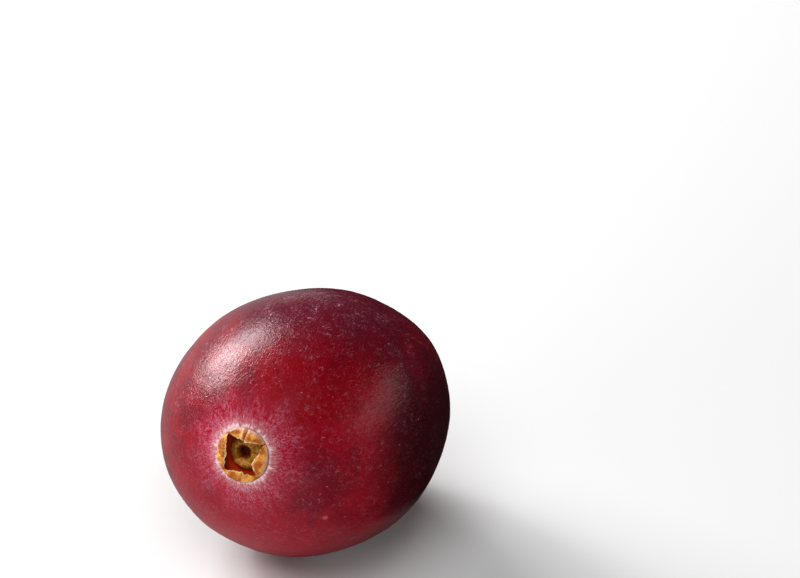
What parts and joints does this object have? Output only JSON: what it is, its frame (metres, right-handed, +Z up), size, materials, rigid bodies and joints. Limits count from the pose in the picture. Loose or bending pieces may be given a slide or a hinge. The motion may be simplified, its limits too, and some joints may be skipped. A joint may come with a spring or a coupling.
{
  "type": "cranberry",
  "caption": "Whole fresh cranberry lying on its side, with a dried calyx of curled sepals at the blossom end and a broken stalk stub at the stem end.",
  "frame": {"origin": "bottom centre of the bounding box of the fruit as it lies, on the surface it rests on", "axes": "+Z up; the blossom end with its calyx faces -Y and is raised; +Y towards the stem end; +X to the right as seen from the calyx"},
  "size_m": [0.0162, 0.0186, 0.016],
  "materials": {
    "skin": "thin glossy crimson to maroon skin with a whitish waxy bloom round the calyx, fine ripples and pale specks",
    "sepal": "dry papery orange-tan sepal, dull, with fine ribs, creases and pale worn edges",
    "pedicel": "dry fibrous rust-brown stalk, matt and broken at its end"
  },
  "bodies": {
    "root": {"berry": "skin", "sepal_upper": "sepal", "sepal_right": "sepal", "sepal_lower": "sepal", "sepal_left": "sepal", "pedicel_stub": "pedicel"}
  },
  "joints": []
}
